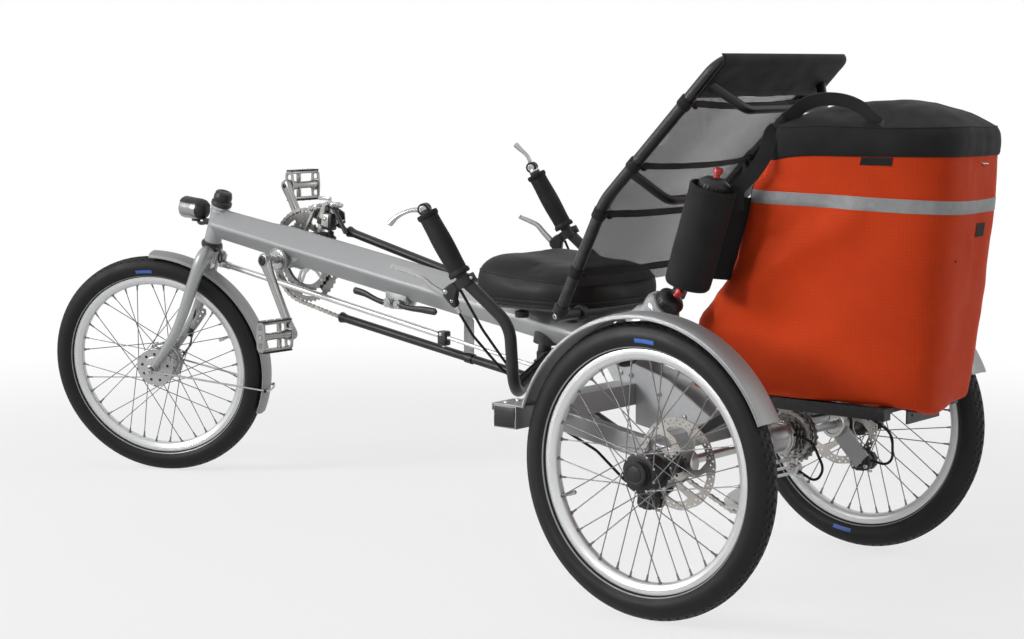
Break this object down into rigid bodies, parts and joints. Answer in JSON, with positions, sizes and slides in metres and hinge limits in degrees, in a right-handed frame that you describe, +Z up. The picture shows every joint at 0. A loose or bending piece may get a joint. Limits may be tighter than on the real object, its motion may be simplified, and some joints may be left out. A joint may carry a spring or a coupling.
{
  "type": "recumbent tricycle",
  "caption": "Three-wheeled recumbent pedal cycle with under-seat steering, mesh back rest and a large rear luggage bag.",
  "frame": {"origin": "on the ground, in the middle of the machine's whole length and width", "axes": "front faces -Y, the rider's left is +X, +Z up"},
  "size_m": [0.788, 2.2603, 0.9479],
  "materials": {
    "tyre": "matt",
    "rim": "machined",
    "spokes": "drawn wire",
    "hub_silver": "polished",
    "hub_black": "satin black",
    "rotor": "drilled",
    "frame_silver": "silver satin powder coat",
    "bright_metal": "brushed",
    "black_metal": "satin black",
    "black_rubber": "matt",
    "chain_steel": "oiled",
    "saddle_cover": "smooth black cover",
    "seat_fabric": "mesh",
    "black_fabric": "woven",
    "orange_fabric": "ripstop weave",
    "bottle_plastic": "smooth"
  },
  "bodies": {
    "frame": {"front_boom": "frame_silver", "main_tube": "frame_silver", "clamp_levers": "black_metal", "rear_frame": "frame_silver", "frame_gussets": "frame_silver", "centre_bearing": "hub_black", "left_fender": "bright_metal", "right_fender": "bright_metal", "bar_pivot_housing": "hub_black", "chain": "chain_steel", "chain_tubes": "black_rubber", "rear_derailleur": "black_metal", "front_derailleur": "bright_metal", "frame_cables": "black_rubber", "brake_calipers": "black_metal", "headlamp": "bright_metal", "seat_frame": "black_metal", "seat_pan": "black_metal", "seat_cushion": "saddle_cover", "seat_mesh": "seat_fabric", "seat_flap": "black_fabric", "luggage_rack": "black_metal", "bag_shell": "orange_fabric", "pouch_bottle": "bottle_plastic", "frame_bottle": "bottle_plastic", "bottle_pouch": "black_fabric"},
    "fork": {"fork": "frame_silver", "steering_cap": "black_metal", "front_fender": "bright_metal"},
    "front_wheel": {"front_tyre": "tyre", "front_rim": "rim", "front_spokes": "spokes", "front_hub": "hub_silver"},
    "left_wheel": {"left_tyre": "tyre", "left_rim": "rim", "left_spokes": "spokes", "left_hub": "hub_black", "left_brake_rotor": "rotor"},
    "right_wheel": {"right_tyre": "tyre", "right_rim": "rim", "right_spokes": "spokes", "right_hub": "hub_black", "right_brake_rotor": "rotor"},
    "handlebar": {"handlebar_clamp": "black_metal", "handlebar": "black_metal", "grips": "black_rubber", "shifters": "bright_metal", "brake_levers": "bright_metal", "bar_cables": "black_rubber"},
    "steering_rod": {"steering_rod": "bright_metal"},
    "cranks": {"chainrings": "bright_metal", "crank_arms": "bright_metal"},
    "left_pedal": {"left_pedal": "bright_metal"},
    "right_pedal": {"right_pedal": "bright_metal"},
    "cassette": {"cassette": "chain_steel"},
    "bag_lid": {"bag_lid": "black_fabric", "bag_handle": "black_fabric"}
  },
  "joints": [
    {"name": "steering", "type": "hinge", "parent": "frame", "child": "fork", "pos_m": [0, -0.75079, 0.51551], "axis": [0, 0.342, 0.9397], "range_deg": [-62, 8]},
    {"name": "handlebar_pivot", "type": "hinge", "parent": "frame", "child": "handlebar", "pos_m": [0, 0.20921, 0.38997], "axis": [0, 0.1561, 0.9877], "range_deg": [-50.1, 6.9]},
    {"name": "rod_eye", "type": "hinge", "parent": "fork", "child": "steering_rod", "pos_m": [-0.03764, -0.75388, 0.4845], "axis": [0, 0.342, 0.9397], "range_deg": [-12, 66]},
    {"name": "front_wheel_spin", "type": "hinge", "parent": "fork", "child": "front_wheel", "pos_m": [0.02492, -0.89915, 0.25026], "axis": [0.8902, 0.4281, -0.1558], "continuous": true},
    {"name": "left_wheel_spin", "type": "hinge", "parent": "frame", "child": "left_wheel", "pos_m": [0.356, 0.71421, 0.253], "axis": [1, 0, 0], "continuous": true},
    {"name": "right_wheel_spin", "type": "hinge", "parent": "frame", "child": "right_wheel", "pos_m": [-0.356, 0.71421, 0.253], "axis": [1, 0, 0], "continuous": true},
    {"name": "crank_spin", "type": "hinge", "parent": "frame", "child": "cranks", "pos_m": [0, -0.49979, 0.514], "axis": [1, 0, 0], "continuous": true},
    {"name": "left_pedal_spin", "type": "hinge", "parent": "cranks", "child": "left_pedal", "pos_m": [0.12, -0.41998, 0.3639], "axis": [1, 0, 0], "continuous": true},
    {"name": "right_pedal_spin", "type": "hinge", "parent": "cranks", "child": "right_pedal", "pos_m": [-0.12, -0.5796, 0.6641], "axis": [1, 0, 0], "continuous": true},
    {"name": "cassette_spin", "type": "hinge", "parent": "frame", "child": "cassette", "pos_m": [-0.088, 0.71421, 0.253], "axis": [1, 0, 0], "continuous": true},
    {"name": "bag_lid_hinge", "type": "hinge", "parent": "frame", "child": "bag_lid", "pos_m": [0, 0.80621, 0.7783], "axis": [1, 0, 0], "range_deg": [0, 50]}
  ],
  "couplings": [
    {"joint": "handlebar_pivot", "follows": "steering", "ratio": 0.8},
    {"joint": "rod_eye", "follows": "steering", "ratio": -1.035},
    {"joint": "cassette_spin", "follows": "crank_spin", "ratio": 2.622}
  ]
}
